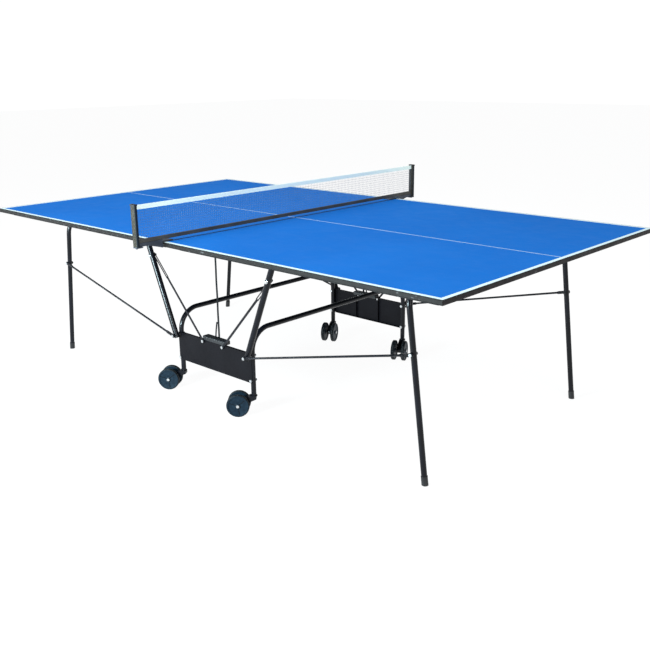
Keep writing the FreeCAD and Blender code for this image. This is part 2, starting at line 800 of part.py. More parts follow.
def build():
    os.makedirs("parts", exist_ok=True)
    for name, side in SIDES.items():
        save(name + "_hoop", carriage_hoop(side))
        save(name + "_board", board(side))
        save(name + "_edge_trim", edge_trim(side))
        save(name + "_rails", *rails(side))
        save(name + "_arm_brackets", *arm_brackets(side))
        save(name + "_hinge_bolts", *hinge_bolts(side))
        save(name + "_leg_saddles", *leg_saddles(side))
        save(name + "_leg_hoop", leg_hoop(side))
        save(name + "_foot_caps", *foot_caps(side))
        save(name + "_struts", *struts(side))
        save(name + "_slot_bolts", *slot_bolts(side))
        save(name + "_rods", *rods(side))
        save(name + "_rod_bolts", *rod_bolts(side))
    for edge_name, edge in EDGES.items():
        save(edge_name + "_panel", mirrored(panel(), 1, edge))
        save(edge_name + "_latch_housing", latch_housing(edge))
        save(edge_name + "_latch_strap", latch_strap(edge))
        save(edge_name + "_net_post", mirrored(net_post(), 1, edge))
        for side_name, side in SIDES.items():
            corner = edge_name + "_" + side_name
            save(corner + "_arm", arm(side, edge))
            save(corner + "_caster_fork", caster_fork(edge_name, side_name))
            save(corner + "_caster_axle", caster_axle(edge_name, side_name))
            save(corner + "_wheel_a", caster_wheel(edge_name, side_name, -1))
            save(corner + "_wheel_b", caster_wheel(edge_name, side_name, 1))
    save("panel_bolts", *panel_bolts())
    save("pivot_bolts", *pivot_bolts())
    save("net_brackets", *[mirrored(net_bracket(), 1, edge) for edge in EDGES.values()])
    tape_top = net_top - net_tape_drop
    tape_bottom = tape_top - net_tape_height
    rail_top = net_rail_bottom + net_rail_height
    save("net_rail", net_span(net_rail_width / 2, net_rail_bottom, rail_top))
    save("net_mesh", net_span(net_thickness / 2, rail_top, tape_bottom))
    save("net_tape", net_span(net_tape_thickness / 2, tape_bottom, tape_top))


build()
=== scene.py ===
"""Looks for the folding table-tennis table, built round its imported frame.

Metres. X runs along the length, Y across the width, Z up; the camera stands off the +X, -Y corner.
"""
import json
import math
import bmesh
import bpy
from mathutils import Matrix, Vector


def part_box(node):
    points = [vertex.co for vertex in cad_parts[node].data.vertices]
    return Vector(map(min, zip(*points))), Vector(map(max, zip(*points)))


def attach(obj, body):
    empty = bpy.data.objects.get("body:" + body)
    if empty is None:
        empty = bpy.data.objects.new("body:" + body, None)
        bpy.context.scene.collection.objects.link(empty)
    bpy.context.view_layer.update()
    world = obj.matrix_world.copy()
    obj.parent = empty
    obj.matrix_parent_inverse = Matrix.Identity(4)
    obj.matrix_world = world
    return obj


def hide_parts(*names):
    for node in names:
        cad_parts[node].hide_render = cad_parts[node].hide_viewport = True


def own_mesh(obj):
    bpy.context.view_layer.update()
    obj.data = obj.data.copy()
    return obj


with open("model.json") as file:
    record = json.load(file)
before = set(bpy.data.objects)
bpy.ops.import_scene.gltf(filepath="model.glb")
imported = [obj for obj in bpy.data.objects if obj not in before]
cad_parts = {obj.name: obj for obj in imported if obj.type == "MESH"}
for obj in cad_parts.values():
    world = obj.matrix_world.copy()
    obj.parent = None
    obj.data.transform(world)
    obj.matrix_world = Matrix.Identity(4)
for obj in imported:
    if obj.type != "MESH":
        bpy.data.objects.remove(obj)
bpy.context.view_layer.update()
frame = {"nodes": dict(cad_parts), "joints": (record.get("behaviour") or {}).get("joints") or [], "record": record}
nodes = frame["nodes"]
joints = {joint["name"]: joint for joint in frame["joints"]}
SIDES = {"left": -1, "right": 1}
EDGES = {"near": -1, "far": 1}
MM = 0.001


# ---------------------------------------------------------------- material tools

def srgb(red, green, blue):
    """Linear colour of an 8-bit sRGB one."""
    linear = []
    for value in (red, green, blue):
        share = value / 255
        linear.append(share / 12.92 if share <= 0.04045 else ((share + 0.055) / 1.055) ** 2.4)
    return (*linear, 1.0)


class Graph:
    """Node graph of one material. Its patterns are placed in object coordinates, in metres."""

    def __init__(self, name, **fixed):
        self.material = bpy.data.materials.new(name)
        self.material.use_nodes = True
        self.tree = self.material.node_tree
        self.shader = self.tree.nodes["Principled BSDF"]
        for socket, value in fixed.items():
            self.shader.inputs[socket.replace("_", " ")].default_value = value
        self.place = self.tree.nodes.new("ShaderNodeTexCoord").outputs["Object"]

    def feed(self, socket, value):
        if isinstance(value, bpy.types.NodeSocket):
            self.tree.links.new(value, socket)
        else:
            socket.default_value = value

    def math(self, operation, a, b=0.0, c=0.0):
        node = self.tree.nodes.new("ShaderNodeMath")
        node.operation = operation
        for socket, value in zip(node.inputs, (a, b, c)):
            self.feed(socket, value)
        return node.outputs[0]

    def remap(self, value, low, high, to_low=0.0, to_high=1.0):
        node = self.tree.nodes.new("ShaderNodeMapRange")
        node.interpolation_type = "SMOOTHSTEP"
        for socket, item in zip(node.inputs, (value, low, high, to_low, to_high)):
            self.feed(socket, item)
        return node.outputs[0]

    def mix(self, share, a, b):
        node = self.tree.nodes.new("ShaderNodeMix")
        node.data_type = "RGBA"
        self.feed(node.inputs["Factor"], share)
        self.feed(node.inputs[6], a)
        self.feed(node.inputs[7], b)
        return node.outputs[2]

    def axes(self):
        node = self.tree.nodes.new("ShaderNodeSeparateXYZ")
        self.tree.links.new(self.place, node.inputs[0])
        return node.outputs

    def stretched(self, stretch):
        node = self.tree.nodes.new("ShaderNodeMapping")
        node.inputs["Scale"].default_value = stretch
        self.tree.links.new(self.place, node.inputs[0])
        return node.outputs[0]

    def noise(self, scale, detail=2.0, stretch=None):
        node = self.tree.nodes.new("ShaderNodeTexNoise")
        node.inputs["Scale"].default_value = scale
        node.inputs["Detail"].default_value = detail
        place = self.stretched(stretch) if stretch else self.place
        self.tree.links.new(place, node.inputs["Vector"])
        return node.outputs["Fac"]

    def scratches(self, scale, stretch, share=0.68):
        """Thin streaks where a drawn-out noise peaks."""
        return self.remap(self.noise(scale, 1.0, stretch), share, share + 0.08)

    def bump(self, *layers):
        """Layers of (height, depth in metres), one over another."""
        normal = None
        for height, depth in layers:
            node = self.tree.nodes.new("ShaderNodeBump")
            node.inputs["Strength"].default_value = 1.0
            node.inputs["Distance"].default_value = depth
            self.tree.links.new(height, node.inputs["Height"])
            if normal is not None:
                self.tree.links.new(normal, node.inputs["Normal"])
            normal = node.outputs[0]
        self.tree.links.new(normal, self.shader.inputs["Normal"])

    def finish(self, colour, rough):
        self.feed(self.shader.inputs["Base Color"], colour)
        self.feed(self.shader.inputs["Roughness"], rough)
        return self.material


def coat_paint(name, colour, lighter, rough, **fixed):
    """Sprayed or baked paint: orange peel, patches of sheen, rubbed streaks and dust specks."""
    g = Graph(name, **fixed)
    patches = g.noise(9.0, 4.0)
    specks = g.remap(g.noise(2600.0, 0.0), 0.66, 0.72)
    rubbed = g.scratches(38.0, (1.0, 1.0, 0.07))
    tone = g.mix(g.remap(patches, 0.3, 0.7), colour, lighter)
    tone = g.mix(g.math("MULTIPLY", rubbed, 0.25), tone, lighter)
    tone = g.mix(g.math("MULTIPLY", specks, 0.35), tone, lighter)
    sheen = g.remap(g.noise(60.0, 3.0), 0.25, 0.75, rough - 0.07, rough + 0.09)
    sheen = g.math("ADD", sheen, g.math("MULTIPLY", rubbed, 0.12))
    g.bump((g.noise(900.0, 1.0), 0.00001), (g.noise(300.0, 1.0), 0.000015))
    return g.finish(tone, sheen)


# ---------------------------------------------------------------- materials

LINE_WIDTH = 20 * MM
CENTRE_LINE = 4 * MM


def board_paint():
    """Blue lacquer with white lines on top; slate-coloured backing board below."""
    g = Graph("board_paint", Specular_IOR_Level=0.06)
    low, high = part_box("right_edge_trim")
    x, y, z = g.axes()
    along = g.math("ABSOLUTE", x)
    across = g.math("ABSOLUTE", y)
    soft = 0.25 * MM
    side_start = high.y - LINE_WIDTH
    end_start = high.x - LINE_WIDTH
    side = g.remap(across, side_start - soft, side_start + soft)
    end = g.remap(along, end_start - soft, end_start + soft)
    middle = g.remap(across, CENTRE_LINE / 2 - soft, CENTRE_LINE / 2 + soft, 1.0, 0.0)
    line = g.math("MAXIMUM", g.math("MAXIMUM", side, end), middle)
    patches = g.noise(2.2, 3.0)
    grain = g.noise(520.0, 3.0)
    field = g.mix(g.remap(patches, 0.3, 0.7), srgb(13, 110, 204), srgb(18, 115, 210))
    field = g.mix(g.math("MULTIPLY", g.remap(grain, 0.45, 0.7), 0.18), field, srgb(30, 128, 224))
    white = g.mix(g.remap(grain, 0.3, 0.7), srgb(214, 244, 250), srgb(232, 250, 255))
    top = g.mix(line, field, white)
    fibres = g.noise(240.0, 4.0, (1.0, 0.2, 1.0))
    under = g.mix(g.remap(fibres, 0.35, 0.65), srgb(44, 50, 56), srgb(60, 67, 73))
    upper = g.remap(z, high.z - 1.2 * MM, high.z - 0.6 * MM)
    colour = g.mix(upper, under, top)
    brushed = g.scratches(9.0, (1.0, 9.0, 1.0), 0.6)
    rough = g.remap(g.noise(14.0, 4.0), 0.3, 0.7, 0.5, 0.58)
    rough = g.math("SUBTRACT", rough, g.math("MULTIPLY", brushed, 0.05))
    rough = g.math("ADD", rough, g.math("MULTIPLY", line, 0.06))
    g.bump((grain, 0.00008), (g.noise(1500.0, 1.0), 0.00004), (line, 0.00012))
    return g.finish(colour, rough)


def post_paint():
    """Warm grey paint on the net posts' broad faces; the narrow faces and a strip round each corner are painted
    dark as shade, and the bump sets that strip back a little.
    """
    g = Graph("post_grey", Specular_IOR_Level=0.14)
    low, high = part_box("near_net_post")
    x, y, z = g.axes()
    grey = g.mix(g.remap(g.noise(12.0, 4.0), 0.3, 0.7), srgb(42, 39, 32), srgb(53, 49, 41))
    rubbed = g.scratches(60.0, (1.0, 1.0, 0.06), 0.66)
    grey = g.mix(g.math("MULTIPLY", rubbed, 0.3), grey, srgb(78, 74, 65))
    # Painted shade: the narrow ±X faces, with a few mm round each corner, take a dark blue-grey that stands in for
    # the shade they sit in.
    edge = g.remap(g.math("ABSOLUTE", x), high.x - 3.4 * MM, high.x - 2.6 * MM)
    colour = g.mix(edge, grey, srgb(20, 27, 34))
    rough = g.remap(g.noise(80.0, 3.0), 0.3, 0.7, 0.38, 0.5)
    g.bump((g.noise(1500.0, 1.0), 0.00006), (edge, -0.0003), (rubbed, -0.00004))
    return g.finish(colour, rough)


def edge_band():
    """Dark grey band of the tops' edges, with drawn streaks along it and scuffed corners; its end faces carry a
    darker painted shade.
    """
    g = Graph("edge_band", Specular_IOR_Level=0.14)
    low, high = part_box("right_edge_trim")
    x, y, z = g.axes()
    drawn = g.noise(60.0, 3.0, (0.12, 0.12, 14.0))
    face = g.mix(g.remap(drawn, 0.3, 0.7), srgb(23, 21, 20), srgb(33, 30, 29))
    lip = g.remap(z, high.z - 3.6 * MM, high.z - 2.6 * MM)
    foot = g.remap(z, low.z + 2.4 * MM, low.z + 3.6 * MM, 1.0, 0.0)
    dark = g.math("MAXIMUM", lip, foot)
    colour = g.mix(g.math("MULTIPLY", dark, 0.92), face, srgb(15, 14, 14))
    # Painted shade: only the long side faces keep the band colour; the end faces and the rest of the trim away
    # from the sides take a darker copy (22, 20, 22) for the shade they stand in.
    unshaded_sides = g.remap(g.math("ABSOLUTE", y), high.y - 2.5 * MM, high.y - 1.5 * MM)
    colour = g.mix(unshaded_sides, srgb(22, 20, 22), colour)
    scuffs = g.scratches(90.0, (0.4, 0.4, 1.0), 0.7)
    colour = g.mix(g.math("MULTIPLY", scuffs, 0.3), colour, srgb(130, 130, 132))
    rough = g.remap(g.noise(45.0, 3.0), 0.3, 0.7, 0.42, 0.56)
    g.bump((drawn, 0.0001), (dark, -0.0004), (g.noise(900.0, 1.0), 0.00005))
    return g.finish(colour, rough)


def zinc():
    """Bright zinc plate: crystals, faint yellowing and wrench marks."""
    g = Graph("zinc", Metallic=1.0)
    crystals = g.noise(420.0, 2.0)
    colour = g.mix(g.remap(crystals, 0.3, 0.7), srgb(176, 182, 190), srgb(222, 226, 230))
    colour = g.mix(g.math("MULTIPLY", g.noise(35.0, 2.0), 0.3), colour, srgb(206, 200, 178))
    rough = g.remap(g.noise(260.0, 3.0), 0.3, 0.7, 0.2, 0.4)
    g.bump((crystals, 0.00008), (g.scratches(500.0, (1.0, 0.15, 1.0)), 0.00005))
    return g.finish(colour, rough)


def wheel_rubber():
    """Slate wheel: mould seams across the disc in three directions, moulding ripple, dusty tread."""
    g = Graph("wheel_slate", Specular_IOR_Level=0.12)
    x, y, z = g.axes()
    radius = g.math("SQRT", g.math("ADD", g.math("MULTIPLY", x, x), g.math("MULTIPLY", y, y)))
    seams = None
    for turn in (20, 140, 260):
        c = math.cos(math.radians(turn))
        s = math.sin(math.radians(turn))
        aside = g.math("ABSOLUTE", g.math("SUBTRACT", g.math("MULTIPLY", x, s), g.math("MULTIPLY", y, c)))
        ahead = g.math("ADD", g.math("MULTIPLY", x, c), g.math("MULTIPLY", y, s))
        seam = g.math("MULTIPLY", g.remap(aside, 0.8 * MM, 1.5 * MM, 1.0, 0.0), g.remap(ahead, 0.0, 1.0 * MM))
        seams = seam if seams is None else g.math("MAXIMUM", seams, seam)
    inside = g.remap(radius, 40 * MM, 41 * MM, 1.0, 0.0)
    seams = g.math("MULTIPLY", seams, inside)
    mottle = g.noise(70.0, 4.0)
    colour = g.mix(g.remap(mottle, 0.3, 0.7), srgb(14, 28, 39), srgb(22, 38, 50))
    tread = g.remap(radius, 45.5 * MM, 47 * MM)
    colour = g.mix(tread, colour, srgb(11, 16, 21))
    dust = g.math("MULTIPLY", g.remap(radius, 47.5 * MM, 49.6 * MM), g.remap(g.noise(190.0, 4.0), 0.45, 0.7))
    colour = g.mix(g.math("MULTIPLY", dust, 0.35), colour, srgb(104, 110, 112))
    colour = g.mix(seams, colour, srgb(10, 13, 16))
    rings = g.math("SINE", g.math("MULTIPLY", radius, 2600.0))
    rough = g.remap(mottle, 0.3, 0.7, 0.38, 0.55)
    rough = g.math("ADD", rough, g.math("MULTIPLY", dust, 0.2))
    g.bump((seams, -0.001), (g.noise(800.0, 2.0), 0.00007), (rings, 0.00002))
    return g.finish(colour, rough)


def weave(name, colour, lighter, pitch, relief=0.18, sheen=0.25):
    """Woven cloth seen from any side: warp up Z, weft along Y, and threads of uneven shade."""
    g = Graph(name, Sheen_Weight=sheen, Sheen_Roughness=0.4, Specular_IOR_Level=0.2)
    x, y, z = g.axes()
    turn = 2 * math.pi / pitch
    warp = g.math("SINE", g.math("MULTIPLY", g.math("ADD", y, x), turn))
    weft = g.math("SINE", g.math("MULTIPLY", z, turn))
    over = g.math("MULTIPLY", warp, weft)
    shade = g.remap(over, -1.0, 1.0)
    slub = g.noise(1.2 / pitch, 2.0, (1.0, 0.15, 1.0))
    tone = g.mix(shade, colour, lighter)
    tone = g.mix(g.math("MULTIPLY", g.remap(slub, 0.4, 0.75), 0.4), tone, colour)
    g.bump((over, pitch * relief), (g.noise(2500.0, 1.0), 0.00005))
    return g.finish(tone, g.remap(slub, 0.3, 0.7, 0.75, 0.87))


def moulded(name, colour, lighter, rough):
    """Black moulded plastic with spark-eroded texture and flow marks."""
    g = Graph(name, Specular_IOR_Level=0.4)
    flow = g.noise(24.0, 3.0, (1.0, 0.3, 1.0))
    colour = g.mix(g.remap(flow, 0.3, 0.7), colour, lighter)
    scuffs = g.scratches(120.0, (0.3, 1.0, 1.0), 0.7)
    colour = g.mix(g.math("MULTIPLY", scuffs, 0.3), colour, srgb(80, 82, 86))
    g.bump((g.noise(1900.0, 2.0), 0.0001), (flow, 0.0001))
    return g.finish(colour, g.remap(g.noise(75.0, 2.0), 0.3, 0.7, rough - 0.06, rough + 0.08))


MATERIALS = {
    "playing_board": board_paint(),
    "edging": edge_band(),
    "black_steel": coat_paint("black_powder", srgb(8, 9, 13), srgb(15, 17, 24), 0.2, Specular_IOR_Level=0.22),
    "panel_steel": coat_paint("panel_charcoal", srgb(10, 9, 13), srgb(15, 14, 18), 0.44,
                              Specular_IOR_Level=0.08),
    "zinc": zinc(),
    "wheel_tread": wheel_rubber(),
    "black_plastic": moulded("black_moulding", srgb(17, 18, 20), srgb(28, 29, 32), 0.42),
    "post_paint": post_paint(),
    "net_cloth": weave("net_thread", srgb(84, 92, 108), srgb(122, 132, 150), 1.2 * MM),
    "tape_cloth": weave("tape_cotton", srgb(232, 254, 246), srgb(242, 255, 250), 0.9 * MM, relief=0.05),
}
RAIL_PAINT = coat_paint("rail_grey", srgb(58, 58, 56), srgb(74, 74, 72), 0.44, Specular_IOR_Level=0.2)
BRACKET_PAINT = coat_paint("bracket_slate", srgb(46, 53, 64), srgb(62, 69, 82), 0.42, Specular_IOR_Level=0.3)
WEBBING = weave("webbing", srgb(5, 6, 8), srgb(17, 18, 22), 1.6 * MM, sheen=0.03)


def paint(obj, material):
    """Give an object one material and no other."""
    obj.data.materials.clear()
    obj.data.materials.append(material)


slots = {part["node"]: part["material_slot"] for part in frame["record"]["subparts"]}
for name, node in nodes.items():
    paint(node, MATERIALS[slots[name]])
paint(nodes["net_rail"], RAIL_PAINT)
paint(nodes["net_brackets"], BRACKET_PAINT)


# ---------------------------------------------------------------- mesh tools

SHARP_ANGLE = math.radians(40)
THREAD_SIDES = 5


def piece(name, mesh, body, material, matrix=None):
    """A mesh as an object that rides on a body."""
    data = bpy.data.meshes.new(name)
    bmesh.ops.recalc_face_normals(mesh, faces=mesh.faces)
    mesh.to_mesh(data)
    mesh.free()
    obj = bpy.data.objects.new(name, data)
    bpy.context.scene.collection.objects.link(obj)
    if matrix is not None:
        obj.matrix_world = matrix
    data.shade_smooth()
    data.set_sharp_from_angle(angle=SHARP_ANGLE)
    paint(obj, material)
    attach(obj, body)
    return obj


def tube(mesh, path, radius, sides=THREAD_SIDES):
    """Closed round thread along a list of points."""
    rings = []
    for index, point in enumerate(path):
        before = path[max(index - 1, 0)]
        after = path[min(index + 1, len(path) - 1)]
        along = (after - before).normalized()
        helper = Vector((1, 0, 0)) if abs(along.x) < 0.9 else Vector((0, 1, 0))
        first = along.cross(helper).normalized()
        second = along.cross(first)
        ring = []
        for step in range(sides):
            turn = 2 * math.pi * step / sides
            ring.append(mesh.verts.new(point + (first * math.cos(turn) + second * math.sin(turn)) * radius))
        rings.append(ring)
    for ring, following in zip(rings, rings[1:]):
        for step in range(sides):
            other = (step + 1) % sides
            mesh.faces.new((ring[step], ring[other], following[other], following[step]))
    mesh.faces.new(rings[0])
    mesh.faces.new(rings[-1][::-1])


def lathe(mesh, profile, segments, matrix=None):
    """Closed solid turned round Z from (radius, height) points; a radius of 0 closes an end."""
    rings = []
    for radius, height in profile:
        if radius < 1e-7:
            rings.append([mesh.verts.new((0, 0, height))])
            continue
        ring = []
        for step in range(segments):
            turn = 2 * math.pi * step / segments
            ring.append(mesh.verts.new((radius * math.cos(turn), radius * math.sin(turn), height)))
        rings.append(ring)
    made = [v for ring in rings for v in ring]
    for ring, following in zip(rings, rings[1:]):
        for step in range(segments):
            other = (step + 1) % segments
            corners = [ring[step % len(ring)], ring[other % len(ring)],
                       following[other % len(following)], following[step % len(following)]]
            unique = list(dict.fromkeys(corners))
            if len(unique) > 2:
                mesh.faces.new(unique)
    if matrix is not None:
        bmesh.ops.transform(mesh, matrix=matrix, verts=made)


def facing(point, direction):
    """Matrix that stands local +Z along a direction, at a point."""
    return Matrix.Translation(point) @ Vector(direction).to_track_quat("Z", "Y").to_matrix().to_4x4()


def rounded_box(mesh, low, high, bevel):
    """Box between two corners with every edge rounded in three steps."""
    made = bmesh.ops.create_cube(mesh, size=1.0)["verts"]
    centre = (low + high) / 2
    size = high - low
    for v in made:
        v.co = Vector((v.co.x * size.x, v.co.y * size.y, v.co.z * size.z)) + centre
    edges = {e for v in made for e in v.link_edges}
    bmesh.ops.bevel(mesh, geom=list(edges), offset=bevel, segments=3, affect="EDGES", profile=0.5)


# ---------------------------------------------------------------- net

THREAD_RADIUS = 0.4 * MM
NET_PITCH = 10.5 * MM


def net_threads():
    """Square knotted netting, drawn as threads that pass over and under each other; no knots are made at the
    crossings.
    """
    low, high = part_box("net_mesh")
    mid = (low.x + high.x) / 2
    width = high.y - low.y
    height = high.z - low.z
    columns = round(width / NET_PITCH)
    rows = round(height / NET_PITCH)
    swing = THREAD_RADIUS * 0.7
    mesh = bmesh.new()

    def crossing(column, row, sign):
        y = low.y + width * column / columns
        z = low.z + height * row / rows
        sag = 0.5 * MM * math.sin(column * 0.9) * math.sin(math.pi * row / rows)
        return Vector((mid + sign * swing * (-1) ** (column + row), y, z + sag))

    for column in range(columns + 1):
        tube(mesh, [crossing(column, row, 1) for row in range(rows + 1)], THREAD_RADIUS)
    for row in range(1, rows):
        tube(mesh, [crossing(column, row, -1) for column in range(columns + 1)], THREAD_RADIUS)
    net = piece("net_netting", mesh, "net_set", MATERIALS["net_cloth"])
    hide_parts("net_mesh")
    return net, width, height


def tape_profile(low, high, cloth, arc_steps=8):
    """Cross-section of tape folded over the net's top: outer line up, over and down, inner line back."""
    half = (high.x - low.x) / 2
    mid = (low.x + high.x) / 2
    bend = half
    outer = [(-half, low.z), (-half, (low.z + high.z) / 2)]
    inner = [(-half + cloth, low.z), (-half + cloth, (low.z + high.z) / 2)]
    for step in range(arc_steps + 1):
        turn = math.pi - math.pi * step / arc_steps
        outer.append((half * math.cos(turn), high.z - bend + bend * math.sin(turn)))
        inner.append(((half - cloth) * math.cos(turn), high.z - bend + (bend - cloth) * math.sin(turn)))
    outer += [(half, (low.z + high.z) / 2), (half, low.z)]
    inner += [(half - cloth, (low.z + high.z) / 2), (half - cloth, low.z)]
    return [(mid + x, z) for x, z in outer + inner[::-1]]


def tape_cloth():
    """White tape folded over the top of the netting, with a little pucker between its stitches."""
    low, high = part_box("net_tape")
    cloth = 0.8 * MM
    section = tape_profile(low, high, cloth)
    steps = 220
    mesh = bmesh.new()
    rings = []
    for index in range(steps + 1):
        y = low.y + (high.y - low.y) * index / steps
        pucker = 0.25 * MM * math.sin(index * 1.7)
        ring = []
        for x, z in section:
            free = (high.z - z) / (high.z - low.z)
            ring.append(mesh.verts.new((x, y, z + pucker * free * 0.5)))
        rings.append(ring)
    count = len(section)
    for ring, following in zip(rings, rings[1:]):
        for step in range(count):
            other = (step + 1) % count
            mesh.faces.new((ring[step], ring[other], following[other], following[step]))
    half = count // 2
    for ring in (rings[0], rings[-1]):
        for step in range(half - 1):
            mesh.faces.new((ring[step], ring[step + 1], ring[count - 2 - step], ring[count - 1 - step]))
    tape = piece("net_tape_fold", mesh, "net_set", MATERIALS["tape_cloth"])
    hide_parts("net_tape")
    return tape, low, high


def stitches(name, body, starts, step, length, radius, material):
    """Rows of short raised stitches. starts: (first point, last point, outward direction)."""
    mesh = bmesh.new()
    for first, last, outward in starts:
        along = (last - first).normalized()
        count = int((last - first).length / step)
        for index in range(count):
            middle = first + along * (step * (index + 0.5))
            ends = (middle - along * (length / 2), middle + along * (length / 2))
            lift = Vector(outward) * radius * 0.8
            tube(mesh, [ends[0], middle - along * length * 0.25 + lift,
                        middle + along * length * 0.25 + lift, ends[1]], radius)
    return piece(name, mesh, body, material)


netting, net_width, net_height = net_threads()
tape, tape_low, tape_high = tape_cloth()
seam_rows = []
for face_x, outward in ((tape_low.x, -1), (tape_high.x, 1)):
    seam_z = tape_low.z + 2.5 * MM
    seam_rows.append((Vector((face_x, tape_low.y, seam_z)), Vector((face_x, tape_high.y, seam_z)),
                      (outward, 0, 0)))
seam = stitches("net_tape_seam", "net_set", seam_rows, 4.5 * MM, 3.2 * MM, 0.35 * MM,
                MATERIALS["tape_cloth"])


def post_caps():
    """Black push-in caps on the net posts, a shade wider than the post."""
    for edge in EDGES:
        low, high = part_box(edge + "_net_post")
        lip = 0.4 * MM
        mesh = bmesh.new()
        rounded_box(mesh, Vector((low.x - lip, low.y - lip, high.z - 5 * MM)),
                    Vector((high.x + lip, high.y + lip, high.z + 2.5 * MM)), 1.6 * MM)
        piece(edge + "_post_cap", mesh, "net_set", MATERIALS["black_plastic"])


post_caps()


# ---------------------------------------------------------------- wheels

def wheel_profile(radius, width):
    """Tread with two grooves, rounded shoulders, dished faces and a hub boss on each side."""
    half = width / 2
    face = [
        (4.4 * MM, half - 0.6 * MM),
        (9.5 * MM, half - 0.6 * MM),
        (11.0 * MM, half - 1.4 * MM),
        (11.6 * MM, half - 3.0 * MM),
        (24.0 * MM, half - 2.2 * MM),
        (radius - 10.6 * MM, half - 2.9 * MM),
        (radius - 9.6 * MM, half - 2.6 * MM),
        (radius - 8.8 * MM, half - 0.5 * MM),
        (radius - 7.8 * MM, half),
        (radius - 3.0 * MM, half - 0.1 * MM),
        (radius - 1.2 * MM, half - 0.9 * MM),
        (radius - 0.3 * MM, half - 2.4 * MM),
        (radius, half - 4.0 * MM),
        (radius, 4.4 * MM),
        (radius - 0.9 * MM, 3.9 * MM),
        (radius - 0.9 * MM, 3.1 * MM),
        (radius, 2.6 * MM),
    ]
    below = [(r, -h) for r, h in reversed(face)]
    return face + below + face[:1]


def wheels():
    """A turned wheel in place of each plain one, on its own spin axis."""
    for edge in EDGES:
        for side in SIDES:
            for which in "ab":
                body = f"{edge}_{side}_wheel_{which}"
                joint = joints[f"{edge}_{side}_spin_{which}"]
                low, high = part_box(body)
                axis = Vector(joint["axis"])
                radius = (high.z - low.z) / 2
                swing = max(abs(axis.x), abs(axis.y))
                index = 0 if abs(axis.x) > abs(axis.y) else 1
                span = high[index] - low[index]
                width = (span - 2 * radius * math.sqrt(1 - swing ** 2)) / swing
                mesh = bmesh.new()
                lathe(mesh, wheel_profile(radius, width), 96)
                bmesh.ops.remove_doubles(mesh, verts=mesh.verts, dist=1e-7)
                matrix = facing((low + high) / 2, axis)
                wheel = piece(body + "_tyre", mesh, body, MATERIALS["wheel_tread"],
                              matrix=matrix)
                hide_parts(body)


wheels()


# ---------------------------------------------------------------- straps

LOOP_HEIGHT = 74 * MM
LOOP_HALF_WIDTH = 4.6 * MM
LOOP_INSET = 4 * MM
BAND_THICKNESS = 1.3 * MM
LOOP_THICKNESS = 1.2 * MM


def ribbon(mesh, path, across, thickness):
    """Flat webbing along a path, with rounded edges. across is half its width as a vector."""
    section = []
    for share in (-1.0, -0.94, -0.6, 0.0, 0.6, 0.94, 1.0):
        section.append((share, math.sqrt(max(0.0, 1 - abs(share) ** 8)) * 0.5 + 0.08))
    outline = [(s, t) for s, t in section] + [(s, -t) for s, t in reversed(section)]
    rings = []
    for index, point in enumerate(path):
        before = path[max(index - 1, 0)]
        after = path[min(index + 1, len(path) - 1)]
        normal = (after - before).normalized().cross(across.normalized())
        rings.append([mesh.verts.new(point + across * s + normal * (thickness * t)) for s, t in outline])
    count = len(outline)
    for ring, following in zip(rings, rings[1:]):
        for step in range(count):
            other = (step + 1) % count
            mesh.faces.new((ring[step], ring[other], following[other], following[step]))
    mesh.faces.new(rings[0])
    mesh.faces.new(rings[-1][::-1])


def strap(edge):
    """Pull strap: one webbing band up to the half, and the slanting end of its loop."""
    low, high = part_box(edge + "_latch_strap")
    hand = 1 if high.x < -low.x else -1
    inner = hand * 2 * MM
    outer = high.x if hand > 0 else low.x
    toe = low.x if hand > 0 else high.x
    y = (low.y + high.y) / 2
    half_width = abs(outer - inner) / 2
    band_x = (outer + inner) / 2
    knee = low.z + LOOP_HEIGHT
    mesh = bmesh.new()
    steps = 60
    path = []
    for index in range(steps + 1):
        share = index / steps
        ripple = 0.5 * MM * math.sin(share * 19) * math.sin(math.pi * share)
        path.append(Vector((band_x, y + ripple, low.z + (high.z - low.z) * share)))
    ribbon(mesh, path, Vector((half_width, 0, 0)), BAND_THICKNESS)
    slant = []
    for index in range(17):
        share = index / 16
        x = (toe + hand * LOOP_INSET) * (1 - share) + (inner - hand * LOOP_INSET) * share
        slant.append(Vector((x, y - 1.5 * MM * math.sin(math.pi * share), low.z + (knee - low.z) * share)))
    ribbon(mesh, slant, Vector((LOOP_HALF_WIDTH, 0, 0)), LOOP_THICKNESS)
    band = piece(edge + "_strap_webbing", mesh, "carriage", WEBBING)
    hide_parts(edge + "_latch_strap")
    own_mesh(band)


strap("near")
strap("far")


# ---------------------------------------------------------------- screws, plugs and other small parts

ARM_Y = 545 * MM
ARM_RADIUS = 12.5 * MM
ARM_END = 11 * MM
STUD_DISTANCE = 380 * MM
SADDLE_Y = 420 * MM
HALF_RAIL = 11 * MM
RAIL_WEB = 1.5 * MM
BRACKET_PLATE = 3 * MM
BRACKET_SCREWS = ((-23, -22), (-23, 22), (23, -22), (23, 22))
SADDLE_SCREWS = ((-26, -9), (-26, 9), (26, -9), (26, 9))


def screw(mesh, point, direction):
    """Hexagonal self-tapping screw with a washer face."""
    radius = 4.2 * MM
    matrix = facing(point, direction)
    lathe(mesh, [(0, 0), (radius * 1.35, 0), (radius * 1.35, 0.5 * MM), (radius * 1.1, 0.9 * MM),
                 (0, 0.9 * MM)], 18, matrix)
    lathe(mesh, [(0, 0.8 * MM), (radius, 0.8 * MM), (radius, 3.0 * MM), (radius * 0.86, 3.5 * MM),
                 (0, 3.5 * MM)], 6, matrix)


